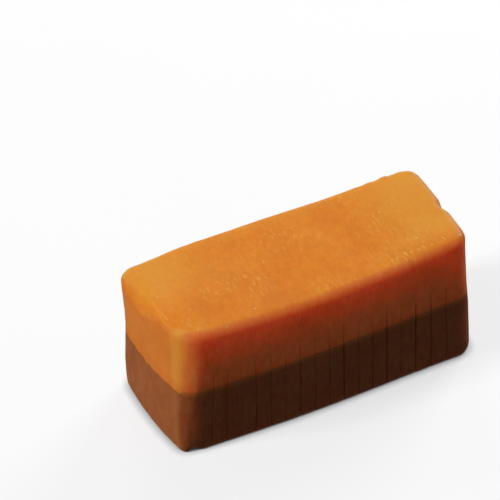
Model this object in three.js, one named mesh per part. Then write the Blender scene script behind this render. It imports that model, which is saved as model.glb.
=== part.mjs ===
// A two-layer caramel: one soft, cut block, with plain caramel above and chocolate caramel below.
// Units are millimetres. +Z is up, X runs along the length, and the front long side faces -Y.
// The origin lies on the base, under the middle of the block's outline.
//
// The wall is a stack of rings, and every ring has the same stations: the points of a rounded rectangle,
// with extra ones where the guides of the cutter have scored the long sides. Each point is then settled,
// which gives the block its bellied sides, bulging ends and sagging top. Both layers share the ring and
// the surface of the seam, so that they meet face to face.

import * as THREE from "three";

// ---- Driving dimensions ----
const LENGTH = 36.7; // along X, before the ends bulge
const WIDTH = 14.5; // along Y, before the sides belly out
const HEIGHT = 17; // from the base to the high ends of the top
const SEAM_HEIGHT = 8.2; // from the base to the seam between the layers

// ---- Rounding of the edges: front (-Y), right (+X), back (+Y) and left (-X) ----
// Each side has its radius at its start and at its end, counter-clockwise from above.
const TOP_RADIUS = { front: [1.1, 1], right: [1.2, 1.1], back: [1.3, 0.9], left: [0.6, 0.55] };
const BASE_RADIUS = { front: [0.45, 0.45], right: [0.9, 0.9], back: [0.5, 0.5], left: [0.9, 0.7] };

// ---- Rounding of the upright corners, in the order in which the outline meets them ----
const CORNERS = [
  { x: 1, y: -1, topRadius: 2.4, baseRadius: 1.9 },
  { x: 1, y: 1, topRadius: 2.1, baseRadius: 1.6 },
  { x: -1, y: 1, topRadius: 1.8, baseRadius: 1.5 },
  { x: -1, y: -1, topRadius: 3, baseRadius: 0.8 },
];

// ---- How the soft block has settled ----
const BELLY = { front: 0.46, back: 0.49 }; // how far each long side bulges
const BELLY_X = -2.7; // where along X the long sides bulge most
const BELLY_REACH = 20; // how far along X the bulge takes to die out
const FRONT_LEAN = 0.1; // how far the front leans back from its base to its top
const TAPER = { depth: 1, reach: 3, z: 4.5, half: 8 }; // how the front draws in towards the left corner
// At the base and at the top of each end: how far the whole end stands out, how far its middle bulges
// beyond that, and how far its back juts as its front stands in.
const ENDS = {
  left: { base: { out: -0.3, bulge: 0.57, slant: -0.15 }, top: { out: 0, bulge: 0.32, slant: 0.38 } },
  right: { base: { out: 0.55, bulge: 0.6, slant: -0.05 }, top: { out: 0.15, bulge: 0.17, slant: 0.15 } },
};
const END_START = 0.5; // the share of the half length from which an end's form fades in
// A low wave runs up each end, and stands out most at the height of its crest.
const END_WAVE = { depth: { left: 0.12, right: 0.04 }, length: 12.5, crest: { left: 3.6, right: 5.4 } };
const TOP_SAG = 0.7; // how far the middle of the top lies below its ends
const TOP_TILT = 0.3; // how far the back of the top stands above its middle line
const CORNER_DROP = { depth: 0.7, reach: 11 }; // how the top sinks towards the back left corner
const LEFT_ROLL = { depth: 0.45, reach: 2.5 }; // and how it rolls off towards the left end
const SWELL = { height: 0.14, lengthX: 11.5, lengthY: 9, start: 0.6 }; // low waves in the top
const SEAM_WAVE = { height: 0.26, lengthX: 12.5, lengthY: 10, start: 1.1 }; // and in the seam

// ---- Score marks: shallow upright grooves on both long sides ----
const SCORE = {
  pitch: 1.85,
  count: 17,
  firstX: -14.7,
  width: 0.34,
  depth: { left: 0.09, right: 0.18 },
  uneven: { least: 0.5, rhythm: 2.3 }, // no two marks next to each other are equally deep
  sweep: 0.3, // how far a mark curves along X on its way up
  fadeStart: 8.5, // the height at which the marks begin to fade
  fadeEnd: 13.2, // and where they are gone
};

// ---- Nicks: small dents in the edges: in the front of the base, the right of the top and a corner ----
const NICKS = [
  { x: -16.9, y: -7.4, z: 0, reach: 1, depth: 0.6 },
  { x: 18.2, y: -0.4, z: 16.4, reach: 1.4, depth: 0.4 },
  { x: 17.9, y: -7, z: 13, reach: 0.8, depth: 0.3 },
];

// ---- The pressed edge: a facet was pushed into the left top edge ----
// It is deepest and tallest at y, and runs out half a length to each side of it.
const FACET = { depth: 0.8, height: 1.75, y: 1.9, half: 4.8 };

// ---- The torn edge: lumps along the right part of the back top edge ----
const LUMPS = [
  { x: 12.9, height: 0.1, halfWidth: 0.8 },
  { x: 14.6, height: 0.2, halfWidth: 0.8 },
  { x: 17.7, height: 0.1, halfWidth: 0.6 },
];
const LUMP_EDGE = 0.5; // how far in from the edge they are highest
const LUMP_REACH = 1.5; // and how far in from there they reach

// ---- Fineness ----
const CORNER_STEPS = 6;
const END_STEPS = 9;
const TOP_STEPS = 5; // bands in the rounding of the top edge
const BASE_STEPS = 3; // bands in the rounding of the base edge
const WALL_STEPS = { chocolate: 5, caramel: 5 };
const TOP_LID_SHARES = [0.95, 0.86, 0.66, 0.36]; // rings inside a lid, as shares of its rim
const SEAM_LID_SHARES = [0.5];

const HALF_LENGTH = LENGTH / 2;
const HALF_WIDTH = WIDTH / 2;
const SPINE_END = HALF_LENGTH - HALF_WIDTH; // half the length of the line that a lid closes on
const TURN = 2 * Math.PI;

const { clamp, lerp, smoothstep } = THREE.MathUtils;
const bell = (t) => (Math.abs(t) < 1 ? 0.5 + 0.5 * Math.cos(Math.PI * t) : 0);

// ---- The forms of the seam and of the top ----
// Two waves cross in each, so that from the lowest to the highest point they measure the given height.

function seamHeight(x, y) {
  const along = Math.sin((x * TURN) / SEAM_WAVE.lengthX + SEAM_WAVE.start);
  const across = Math.sin((y * TURN) / SEAM_WAVE.lengthY + x / SEAM_WAVE.lengthX);
  return SEAM_HEIGHT + (SEAM_WAVE.height * (along + across)) / 4;
}

function topHeight(x, y) {
  const sag = TOP_SAG * (1 - Math.min(1, (x / HALF_LENGTH) ** 2));
  const tilt = (TOP_TILT * y) / HALF_WIDTH;
  const drop = CORNER_DROP.depth * bell(Math.hypot(x + HALF_LENGTH, y - HALF_WIDTH) / CORNER_DROP.reach);
  const roll = LEFT_ROLL.depth * Math.max(0, 1 - (x + HALF_LENGTH) / LEFT_ROLL.reach) ** 2;
  const along = Math.sin((x * TURN) / SWELL.lengthX + y / SWELL.lengthY + SWELL.start);
  const across = Math.cos((y * TURN) / SWELL.lengthY - x / SWELL.lengthX);
  return HEIGHT - sag + tilt - drop - roll + (SWELL.height * (along + across)) / 4;
}

// ---- The stations of the outline, counter-clockwise from above, from the front left ----
// A station is an upright line of the wall. turn says how far round the block it stands: 0 to 1 is the
// front and the corner after it, then come the right, the back and the left. A side takes the first half of
// its turn and the corner the second. nx and ny say which way the wall faces there, and at gives its place
// at a height.

// Places along X on a long side: three across each score mark and one halfway to the next.
const SIDE_PLACES = Array.from({ length: SCORE.count }, (_, i) => SCORE.firstX + i * SCORE.pitch).flatMap(
  (mark) => [-SCORE.width / 2, 0, SCORE.width / 2, SCORE.pitch / 2].map((shift) => mark + shift),
);

function longSide(index, facing, places) {
  return places.map((x, i) => {
    const turn = index + (0.5 * (i + 1)) / (places.length + 1);
    return { turn, nx: 0, ny: facing, at: () => [x, facing * HALF_WIDTH] };
  });
}

function end(index, facing, fromRadius, toRadius) {
  const from = facing * (fromRadius - HALF_WIDTH);
  const to = facing * (HALF_WIDTH - toRadius);
  return Array.from({ length: END_STEPS }, (_, i) => {
    const share = (i + 1) / (END_STEPS + 1);
    const y = lerp(from, to, share);
    return { turn: index + 0.5 * share, nx: facing, ny: 0, at: () => [facing * HALF_LENGTH, y] };
  });
}

function corner(index) {
  const { x, y, topRadius, baseRadius } = CORNERS[index];
  return Array.from({ length: CORNER_STEPS + 1 }, (_, i) => {
    const share = i / CORNER_STEPS;
    const turn = index + 0.5 + 0.5 * share;
    const angle = ((index - 1 + share) * TURN) / 4;
    const nx = Math.cos(angle);
    const ny = Math.sin(angle);
    const at = (height) => {
      const radius = lerp(baseRadius, topRadius, smoothstep(height, 0, HEIGHT));
      return [x * (HALF_LENGTH - radius) + radius * nx, y * (HALF_WIDTH - radius) + radius * ny];
    };
    return { turn, nx, ny, at };
  });
}

const STATIONS = [
  ...longSide(0, -1, SIDE_PLACES),
  ...corner(0),
  ...end(1, 1, CORNERS[0].topRadius, CORNERS[1].topRadius),
  ...corner(1),
  ...longSide(2, 1, [...SIDE_PLACES].reverse()),
  ...corner(2),
  ...end(3, -1, CORNERS[2].topRadius, CORNERS[3].topRadius),
  ...corner(3),
];

const seamOf = (station) => seamHeight(...station.at(SEAM_HEIGHT));

// How far the lumps of the torn edge stand above the plain top.
function lumpHeight(x, y) {
  const along = LUMPS.reduce((sum, lump) => sum + lump.height * bell((x - lump.x) / lump.halfWidth), 0);
  return along * bell(Math.min(0, y - HALF_WIDTH + LUMP_EDGE) / LUMP_REACH);
}

// The height of the top over a station, at some distance in from the wall.
function topOf(station, pullIn = 0) {
  const [atX, atY] = station.at(HEIGHT);
  const x = atX - station.nx * pullIn;
  const y = atY - station.ny * pullIn;
  return topHeight(x, y) + lumpHeight(x, y);
}

// A size that is given by side, changing evenly along the sides and blended round the corners.
function bySide(sizes) {
  const sides = [sizes.front, sizes.right, sizes.back, sizes.left];
  return ({ turn }) => {
    const index = Math.min(3, Math.floor(turn));
    const share = 2 * (turn - index);
    const [start, finish] = sides[index];
    const [next] = sides[(index + 1) % 4];
    return share < 1 ? lerp(start, finish, share) : lerp(finish, next, smoothstep(share, 1, 2));
  };
}

// ---- Score marks, nicks and the pressed edge, as depths below the plain wall ----

function scoreDepth(station, x, height) {
  const mark = Math.round((x - SCORE.firstX) / SCORE.pitch);
  if (station.nx !== 0 || mark < 0 || mark >= SCORE.count) return 0;
  const off = x - (SCORE.firstX + mark * SCORE.pitch);
  const fade = 1 - smoothstep(height, SCORE.fadeStart, SCORE.fadeEnd);
  const depth = lerp(SCORE.depth.left, SCORE.depth.right, mark / SCORE.count);
  const { least, rhythm } = SCORE.uneven;
  const uneven = lerp(least, 1, 0.5 + 0.5 * Math.sin(mark * rhythm));
  return depth * uneven * fade * bell((2 * off) / SCORE.width);
}

function nickDepth(x, y, z) {
  const depths = NICKS.map((nick) => {
    const distance = Math.hypot(x - nick.x, y - nick.y, z - nick.z);
    return nick.depth * bell(distance / nick.reach);
  });
  return Math.max(...depths);
}

function facetDepth(station, y, z) {
  const size = Math.sqrt(bell((y - FACET.y) / FACET.half));
  if (size === 0) return 0;
  const up = clamp(1 - (topOf(station) - z) / (FACET.height * size), 0, 1);
  return FACET.depth * size * Math.max(0, -station.nx) * up;
}

// ---- Settling: where a point of the sharp block ends up in the soft one ----

function settle(x, y, z) {
  const up = z / HEIGHT;
  const across = y / HALF_WIDTH;
  const belly = (y < 0 ? BELLY.front : BELLY.back) * bell((x - BELLY_X) / BELLY_REACH);
  const near = Math.max(0, 1 - (x + HALF_LENGTH) / TAPER.reach) ** 2;
  const taper = TAPER.depth * near * bell((z - TAPER.z) / TAPER.half);
  const front = (FRONT_LEAN * up + taper) * Math.max(0, -across);
  const side = x < 0 ? "left" : "right";
  const { base, top } = ENDS[side];
  const blend = (form) => lerp(base[form], top[form], up);
  const wave = END_WAVE.depth[side] * Math.cos((TURN * (z - END_WAVE.crest[side])) / END_WAVE.length);
  const outwards = blend("out") + blend("bulge") * (1 - across ** 2) + blend("slant") * across + wave;
  const share = smoothstep(Math.abs(x) / HALF_LENGTH, END_START, 1);
  return [x + Math.sign(x) * share * outwards, y + belly * across + front, z];
}

// ---- Rings ----

// One ring of the wall, at a height and pulled inwards by an amount that are both given station by station.
function wallRing(heightOf, pullInOf = () => 0) {
  return STATIONS.map((station) => {
    const z = heightOf(station);
    const [x, y] = station.at(z);
    const dents = scoreDepth(station, x, z) + nickDepth(x, y, z) + facetDepth(station, y, z);
    const inwards = pullInOf(station) + dents;
    const sweep = SCORE.sweep * (z / SCORE.fadeEnd) ** 2 * bell(x / HALF_LENGTH);
    return settle(x - sweep - station.nx * inwards, y - station.ny * inwards, z);
  });
}

// The rings between two heights, both left out.
function wallRings(lowOf, highOf, steps) {
  return Array.from({ length: steps - 1 }, (_, i) =>
    wallRing((station) => lerp(lowOf(station), highOf(station), (i + 1) / steps)),
  );
}

// A quarter round of rings, from the base up, or up to the top.
function baseRings(radiusOf) {
  return Array.from({ length: BASE_STEPS + 1 }, (_, i) => {
    const angle = ((i / BASE_STEPS) * TURN) / 4;
    return wallRing(
      (station) => radiusOf(station) * (1 - Math.cos(angle)),
      (station) => radiusOf(station) * (1 - Math.sin(angle)),
    );
  });
}

function topRings(radiusOf) {
  return Array.from({ length: TOP_STEPS + 1 }, (_, i) => {
    const angle = ((i / TOP_STEPS) * TURN) / 4;
    const pullInOf = (station) => radiusOf(station) * (1 - Math.cos(angle));
    const dropOf = (station) => radiusOf(station) * (1 - Math.sin(angle));
    return wallRing((station) => topOf(station, pullInOf(station)) - dropOf(station), pullInOf);
  });
}

// ---- The spine: the line that a lid closes on ----

const spineXs = STATIONS.map((station) => clamp(station.at(0)[0], -SPINE_END, SPINE_END));
const SPINE_PLACES = [...new Set(spineXs)].sort((a, b) => a - b);
const SPINE_INDEX = spineXs.map((x) => SPINE_PLACES.indexOf(x)); // each station's own place on the spine

// A ring inside a lid: a share of the rim, shrunk towards the spine, on the surface that heightAt gives.
function lidRing(rim, share, heightAt) {
  return rim.map(([x, y, z], i) => {
    const inX = lerp(SPINE_PLACES[SPINE_INDEX[i]], x, share);
    const inY = y * share;
    const lift = z - heightAt(x, y);
    return [inX, inY, heightAt(inX, inY) + lift * share];
  });
}

// ---- From rings to solids ----

class Skin {
  positions = [];
  faces = [];

  // Adds points and returns the number of the first.
  addPoints(points) {
    const first = this.positions.length / 3;
    this.positions.push(...points.flat());
    return first;
  }

  addFace(a, b, c, turned) {
    this.faces.push(...(turned ? [a, c, b] : [a, b, c]));
  }

  // The band between two rings. It faces outwards or up where the first is the lower or the outer one.
  addBand(first, second, turned = false) {
    const count = STATIONS.length;
    for (let i = 0; i < count; i++) {
      const j = (i + 1) % count;
      this.addFace(first + i, first + j, second + j, turned);
      this.addFace(first + i, second + j, second + i, turned);
    }
  }

  addRings(rings, turned = false) {
    const starts = rings.map((ring) => this.addPoints(ring));
    starts.slice(1).forEach((start, i) => this.addBand(starts[i], start, turned));
    return starts;
  }

  // A lid on a rim that is already there: rings, and then faces from the innermost one to the spine.
  addLid(rimStart, rim, shares, heightAt, turned = false) {
    let outer = rimStart;
    for (const share of shares) {
      const inner = this.addPoints(lidRing(rim, share, heightAt));
      this.addBand(outer, inner, turned);
      outer = inner;
    }
    const spine = this.addPoints(SPINE_PLACES.map((x) => [x, 0, heightAt(x, 0)]));
    const count = STATIONS.length;
    for (let i = 0; i < count; i++) {
      const j = (i + 1) % count;
      const here = spine + SPINE_INDEX[i];
      const next = spine + SPINE_INDEX[j];
      this.addFace(outer + i, outer + j, next, turned);
      if (here !== next) this.addFace(outer + i, next, here, turned);
    }
  }

  toGeometry() {
    const geometry = new THREE.BufferGeometry();
    geometry.setAttribute("position", new THREE.Float32BufferAttribute(this.positions, 3));
    geometry.setIndex(this.faces);
    geometry.computeVertexNormals();
    return geometry;
  }
}

const seam = wallRing(seamOf);

function chocolateLayer() {
  const radiusOf = bySide(BASE_RADIUS);
  const base = baseRings(radiusOf);
  const skin = new Skin();
  const starts = skin.addRings([...base, ...wallRings(radiusOf, seamOf, WALL_STEPS.chocolate), seam]);
  skin.addLid(starts[0], base[0], [], () => 0, true);
  skin.addLid(starts.at(-1), seam, SEAM_LID_SHARES, seamHeight);
  return skin.toGeometry();
}

function caramelLayer() {
  const radiusOf = bySide(TOP_RADIUS);
  const shoulderOf = (station) => topOf(station) - radiusOf(station);
  const top = topRings(radiusOf);
  const skin = new Skin();
  const starts = skin.addRings([seam, ...wallRings(seamOf, shoulderOf, WALL_STEPS.caramel), ...top]);
  skin.addLid(starts[0], seam, SEAM_LID_SHARES, seamHeight, true);
  skin.addLid(starts.at(-1), top.at(-1), TOP_LID_SHARES, topHeight);
  return skin.toGeometry();
}

// ---- The candy ----

function layer(name, geometry, look) {
  const mesh = new THREE.Mesh(geometry, new THREE.MeshStandardMaterial(look));
  mesh.name = name;
  return mesh;
}

const candy = new THREE.Group();
candy.name = "layered_caramel";
candy.add(
  layer("chocolate_layer", chocolateLayer(), { color: 0x91532f, roughness: 0.5, metalness: 0 }),
  layer("caramel_layer", caramelLayer(), { color: 0xd5842f, roughness: 0.42, metalness: 0 }),
);

// The two ends settle unequally, so the outline is centred on the origin again.
const centre = new THREE.Box3().setFromObject(candy).getCenter(new THREE.Vector3());
candy.children.forEach((mesh) => mesh.position.set(-centre.x, -centre.y, 0));

export default candy;
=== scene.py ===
# %% [markdown]
# # A two-layer caramel
#
# One soft, cut block of candy: plain caramel on top, chocolate caramel below. It was poured as a slab in
# two layers and cut while still warm, so its sides belly out, its top sags and its edges are rounded. This
# lesson builds the block's fine surface over a fixed CAD frame, and then its finish, light and film.
#
# Everything is in metres in Blender. The sizes here are written in millimetres, as a candy maker would, and
# are turned to metres in one place.

import math

import bpy
import numpy as np
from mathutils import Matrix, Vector


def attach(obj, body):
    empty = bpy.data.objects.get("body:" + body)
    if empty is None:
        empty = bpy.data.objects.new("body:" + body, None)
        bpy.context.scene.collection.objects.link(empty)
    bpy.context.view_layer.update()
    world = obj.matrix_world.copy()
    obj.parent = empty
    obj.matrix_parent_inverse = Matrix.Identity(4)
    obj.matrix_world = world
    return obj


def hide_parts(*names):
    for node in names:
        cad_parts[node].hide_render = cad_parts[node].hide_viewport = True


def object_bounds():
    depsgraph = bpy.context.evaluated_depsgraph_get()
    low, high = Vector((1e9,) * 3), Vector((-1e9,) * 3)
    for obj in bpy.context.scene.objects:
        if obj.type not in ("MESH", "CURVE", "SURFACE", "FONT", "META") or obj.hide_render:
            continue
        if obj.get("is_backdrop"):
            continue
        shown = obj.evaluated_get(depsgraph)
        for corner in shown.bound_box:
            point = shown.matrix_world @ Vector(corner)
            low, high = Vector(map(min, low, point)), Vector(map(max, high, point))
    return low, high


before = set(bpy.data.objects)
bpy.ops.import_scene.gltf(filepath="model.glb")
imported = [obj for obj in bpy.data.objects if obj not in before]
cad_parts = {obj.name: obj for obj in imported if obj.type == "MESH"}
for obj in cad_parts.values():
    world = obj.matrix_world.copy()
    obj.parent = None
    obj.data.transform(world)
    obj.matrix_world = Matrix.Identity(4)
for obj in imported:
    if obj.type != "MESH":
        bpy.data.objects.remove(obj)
cad_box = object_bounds()
MM = 0.001

print("CAD nodes:", ", ".join(sorted(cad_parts)))

# %% [markdown]
# ## The camera
#
# So small a block is best seen with a long lens from nearly a metre away, which keeps its long edges almost
# parallel. The camera could track an empty, but a written-out direction is easier to repeat. It stands to
# the left of the front, looks down at 40 degrees and aims behind the block, which so sits low in the frame.

# %% The camera
CAMERA_TURN = math.radians(-28.65)  # round the block, from straight in front
CAMERA_RISE = math.radians(39.84)  # above the table
CAMERA_DISTANCE = 802.4
CAMERA_AIM = Vector((0.12, 11.44, 8.54))
LENS, SENSOR_WIDTH = 513.7, 36
FARTHEST_SEEN = 10  # in metres


def placed(data, aim, turn, rise, distance):
    """An object for a camera or lamp that looks at a point, given in mm, from that angle and distance."""
    made = bpy.data.objects.new(data.name, data)
    away = Vector((math.sin(turn) * math.cos(rise), -math.cos(turn) * math.cos(rise), math.sin(rise)))
    made.location = (aim + away * distance) * MM
    made.rotation_euler = away.to_track_quat("Z", "Y").to_euler()
    bpy.context.scene.collection.objects.link(made)
    return made


camera_data = bpy.data.cameras.new("camera")
camera_data.lens = LENS
camera_data.sensor_width = SENSOR_WIDTH
camera_data.clip_end = FARTHEST_SEEN
camera = placed(camera_data, CAMERA_AIM, CAMERA_TURN, CAMERA_RISE, CAMERA_DISTANCE)
bpy.context.scene.camera = camera
print("camera at", [round(v / MM) for v in camera.location], "mm")

# %% [markdown]
# ## The sizes of the block
#
# These are the driving sizes of the CAD solids, so the fine surface follows them everywhere. The block's
# length runs along X, its front faces -Y and it stands on Z = 0. Sides are counted counter-clockwise from
# above: front, right, back, left. The corner of the same number comes after each side.

# %% Sizes of the whole
LENGTH, WIDTH, HEIGHT = 36.7, 14.5, 17.0
SEAM_HEIGHT = 8.2
HALF = {"x": LENGTH / 2, "y": WIDTH / 2}
TURN = 2 * math.pi

# The radius of the rounded edge at each side's start and end, and of each upright corner.
TOP_RADIUS = [(1.1, 1.0), (1.2, 1.1), (1.3, 0.9), (0.6, 0.55)]
BASE_RADIUS = [(0.45, 0.45), (0.9, 0.9), (0.5, 0.5), (0.9, 0.7)]
CORNER_TOP_RADIUS = [2.4, 2.1, 1.8, 3.0]
CORNER_BASE_RADIUS = [1.9, 1.6, 1.5, 0.8]
print("the block before it settles, in mm:", LENGTH, WIDTH, HEIGHT)

# %% How the block has settled
# The long sides belly out: how far, where most, and how far along from there.
BELLY = {"front": 0.46, "back": 0.49, "x": -2.7, "reach": 20}
FRONT_LEAN = 0.1  # how far the front leans back from its base to its top
# Towards the left corner the front draws in: how far, over what length and at which heights.
TAPER = {"depth": 1.0, "reach": 3, "z": 4.5, "half": 8}
# Along each end: how far the whole end stands out, how far its middle bulges and how far its back juts.
LEFT_END = {"base": (-0.3, 0.57, -0.15), "top": (0, 0.32, 0.38), "wave": 0.12, "crest": 3.6}
RIGHT_END = {"base": (0.55, 0.6, -0.05), "top": (0.15, 0.17, 0.15), "wave": 0.04, "crest": 5.4}
END_START = 0.5  # the share of the half length from which the ends' form sets in
END_WAVE_LENGTH = 12.5
TOP_SAG, TOP_TILT = 0.7, 0.3
CORNER_DROP = {"depth": 0.7, "reach": 11}  # how the top sinks towards the back left corner
LEFT_ROLL = {"depth": 0.45, "reach": 2.5}  # how it rolls off towards the left end
# Low waves of the top and of the seam: from trough to crest, and about how long they are.
SWELL = {"height": 0.14, "x": 11.5, "y": 9, "start": 0.6}
SEAM_WAVE = {"height": 0.26, "x": 12.5, "y": 10, "start": 1.1}

# %% The cutter's marks
# The last two are the depths of the marks at the two ends of a side.
SCORE = {"pitch": 1.85, "count": 17, "first": -14.7, "width": 0.34, "left": 0.09, "right": 0.18}
SCORE_SWEEP = 0.3  # how far the marks bend over sideways where they end
SCORE_FADE = (8.5, 13.2)  # the heights between which the marks fade out
NICKS = [
    {"at": (-16.9, -7.4, 0), "reach": 1.0, "depth": 0.6},
    {"at": (18.2, -0.4, 16.4), "reach": 1.4, "depth": 0.4},
    {"at": (17.9, -7, 13), "reach": 0.8, "depth": 0.3},
]

# %% Wear on the top edges
# The left top edge was pressed in: the facet is deepest and tallest at y and runs out half a length away.
FACET = {"depth": 0.8, "height": 1.75, "y": 1.9, "half": 4.8}
# Lumps along the torn right part of the back top edge: place, height and half width of each.
LUMPS = [(12.9, 0.1, 0.8), (14.6, 0.2, 0.8), (17.7, 0.1, 0.6)]
LUMP_EDGE, LUMP_REACH = 0.5, 1.5  # how far in from the edge they are highest, and how far in they reach

# %% [markdown]
# ## The form as formulas
#
# The block could be sculpted, or a subdivided cube could be bent by modifiers. Here each form is a formula
# over whole arrays of points, because the same formulas made the CAD solids: the fine surface then lies on
# them, and only small relief is added.

# %% Blending helpers
def mix(start, end, share):
    return start + (end - start) * share


def smooth(share):
    share = np.clip(share, 0, 1)
    return share * share * (3 - 2 * share)


def bell(share):
    """One at the middle, nothing from 1 outwards, with a soft start and end."""
    return np.where(np.abs(share) < 1, 0.5 + 0.5 * np.cos(np.pi * share), 0.0)


def near_left(x, reach):
    """One at the left end of the block, and nothing from a reach away."""
    return np.maximum(0, 1 - (x + HALF["x"]) / reach) ** 2


# %% Heights of the seam and of the top
def seam_height(x, y):
    along = np.sin(x * TURN / SEAM_WAVE["x"] + SEAM_WAVE["start"])
    across = np.sin(y * TURN / SEAM_WAVE["y"] + x / SEAM_WAVE["x"])
    return SEAM_HEIGHT + SEAM_WAVE["height"] * (along + across) / 4


def top_height(x, y):
    sag = TOP_SAG * (1 - np.minimum(1, (x / HALF["x"]) ** 2))
    tilt = TOP_TILT * y / HALF["y"]
    drop = CORNER_DROP["depth"] * bell(np.hypot(x + HALF["x"], y - HALF["y"]) / CORNER_DROP["reach"])
    drop = drop + LEFT_ROLL["depth"] * near_left(x, LEFT_ROLL["reach"])
    along = np.sin(x * TURN / SWELL["x"] + y / SWELL["y"] + SWELL["start"])
    across = np.cos(y * TURN / SWELL["y"] - x / SWELL["x"])
    return HEIGHT - sag + tilt - drop + SWELL["height"] * (along + across) / 4


# %% Settling
def settled(x, y, z):
    """Where a point of the sharp block ends up in the soft one."""
    up = z / HEIGHT
    across = y / HALF["y"]
    belly = np.where(y < 0, BELLY["front"], BELLY["back"]) * bell((x - BELLY["x"]) / BELLY["reach"])
    drawn_in = near_left(x, TAPER["reach"]) * bell((z - TAPER["z"]) / TAPER["half"])
    front = (FRONT_LEAN * up + TAPER["depth"] * drawn_in) * np.maximum(0, -across)
    outwards = 0
    for end, here in ((LEFT_END, x < 0), (RIGHT_END, x >= 0)):
        out, bulge, slant = (mix(low, high, up) for low, high in zip(end["base"], end["top"]))
        wave = end["wave"] * np.cos(TURN * (z - end["crest"]) / END_WAVE_LENGTH)
        outwards = outwards + here * (out + bulge * (1 - across**2) + slant * across + wave)
    share = smooth((np.abs(x) / HALF["x"] - END_START) / (1 - END_START))
    return np.stack([x + np.sign(x) * share * outwards, y + belly * across + front, z], axis=-1)


# %% [markdown]
# ## The outline
#
# The wall is a stack of rings, and all rings share their stations: upright lines round the block. A station
# knows which way it faces, where it stands, and how far a corner's radius draws it in, because the corners
# are rounder at the top than at the base. Each score mark gets seven stations across its width, so that the
# groove is a real one.

# %% Stations of a side
ALONG = np.array([(1, 0), (0, 1), (-1, 0), (0, -1)])  # the way along each side
STATION_STEP = 0.17  # between stations away from the marks
MARK_STATIONS = 7  # across the width of a mark
BRIDGE_STEPS = 7  # between a side's last place and its corner


def mark_places():
    """Places along a long side: dense across each score mark and even between the marks."""
    across = SCORE["width"] * np.linspace(-0.5, 0.5, MARK_STATIONS)
    gap = SCORE["pitch"] - SCORE["width"]
    plain = SCORE["width"] / 2 + gap * np.linspace(0, 1, round(gap / STATION_STEP) + 1)[1:-1]
    marks = SCORE["first"] + SCORE["pitch"] * np.arange(SCORE["count"])
    places = (marks[:, None] + np.concatenate([across, plain])).ravel()
    return places[: -len(plain)]


def end_places(index):
    """Places along an end, between the start of its two corners at the top."""
    start = CORNER_TOP_RADIUS[index - 1] - HALF["y"]
    finish = HALF["y"] - CORNER_TOP_RADIUS[index]
    return np.linspace(start, finish, round((finish - start) / STATION_STEP))[1:-1]


def side_stations(index, places, half_along, half_across):
    """Rows of turn, facing, place, pull of the corner radius and the corner's number, along one side."""
    along = ALONG[index]
    facing = ALONG[index - 1]
    bridge = np.arange(1, BRIDGE_STEPS) / BRIDGE_STEPS
    stops = [(mix(-half_along, places[0], w), 1 - w, (index - 1) % 4) for w in bridge]
    stops += [(place, 0.0, index) for place in places]
    stops += [(mix(places[-1], half_along, w), -w, index) for w in bridge]
    rows = []
    for place, pull, corner in stops:
        # A side takes the first half of its turn, and the corner after it the second half.
        turn = index + 0.25 * (1 + place / half_along)
        rows.append([turn, *facing, *(facing * half_across + along * place), *(along * pull), corner])
    return rows


# %% Stations of a corner
CORNER_STEPS = 22


def corner_stations(index):
    """Rows as for a side, round the corner that comes after it."""
    sign = ALONG[index] + ALONG[index - 1]
    rows = []
    for share in np.linspace(0, 1, CORNER_STEPS + 1):
        angle = (index - 1 + share) * TURN / 4
        facing = np.array([math.cos(angle), math.sin(angle)])
        anchor = sign * (HALF["x"], HALF["y"])
        rows.append([index + 0.5 + 0.5 * share, *facing, *anchor, *(facing - sign), index])
    return rows


# %% All stations
long_places = mark_places()
rows = []
for index, places in enumerate((long_places, end_places(1), -long_places[::-1], end_places(3))):
    along, across = (HALF["y"], HALF["x"]) if index % 2 else (HALF["x"], HALF["y"])
    rows += side_stations(index, places, along, across) + corner_stations(index)
turn, face_x, face_y, anchor_x, anchor_y, pull_x, pull_y, corner = np.array(rows).T
corner = corner.astype(int)
corner_base, corner_top = (np.array(radii)[corner] for radii in (CORNER_BASE_RADIUS, CORNER_TOP_RADIUS))
COUNT = len(turn)
print("stations round the block:", COUNT)


def outline(height):
    """Each station's place at its height, before the block settles."""
    radius = mix(corner_base, corner_top, smooth(height / HEIGHT))
    return anchor_x + pull_x * radius, anchor_y + pull_y * radius


def by_side(sizes):
    """A size given by side, changing evenly along the sides and blended round the corners."""
    side = np.minimum(turn.astype(int), 3)
    share = 2 * (turn - side)
    start, finish = np.array(sizes).T
    along = mix(start[side], finish[side], np.minimum(share, 1))
    return mix(along, start[(side + 1) % 4], smooth(share - 1))


# %% [markdown]
# ## Wear on the edges
#
# The left top edge was pressed in, which left a facet there. The right part of the back top edge is lumpy,
# where the warm candy tore away from its neighbour. And the seam has fine teeth on the cut ends, where the
# knife dragged one layer over the other.

# %% Edge forms
TEETH = {"height": 0.18, "length": 0.45, "side": 0.04}
TEETH_WAVES = [(1, 1, 0), (0.7, 2.37, 1.3), (0.5, 0.41, 0)]  # each wave's strength, quickness and start
TINY = 1e-6  # keeps a division clear of nothing


def lump_height(x, y):
    """How far the torn back edge stands above the plain top."""
    along = sum(height * bell((x - place) / half) for place, height, half in LUMPS)
    return along * bell(np.minimum(0, y - HALF["y"] + LUMP_EDGE) / LUMP_REACH)


def pressed(height):
    """Which share of the facet's depth the wall is pressed in by, station by station."""
    _, y = outline(height)
    share = np.sqrt(bell((y - FACET["y"]) / FACET["half"]))
    tall = np.maximum(FACET["height"] * share, TINY)
    up = np.clip((height - top_at(0) + tall) / tall, 0, 1)
    return share * np.maximum(0, -face_x) * up


def seam_teeth():
    """The height of the seam's fine teeth at each station, larger on the cut ends than on the long sides."""
    x, y = outline(np.full(COUNT, SEAM_HEIGHT))
    way = (x + y) * TURN / TEETH["length"]
    size = mix(TEETH["side"], TEETH["height"], np.abs(face_x))
    waves = sum(strength * np.sin(way * quickness + start) for strength, quickness, start in TEETH_WAVES)
    return size * waves / 2


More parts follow.
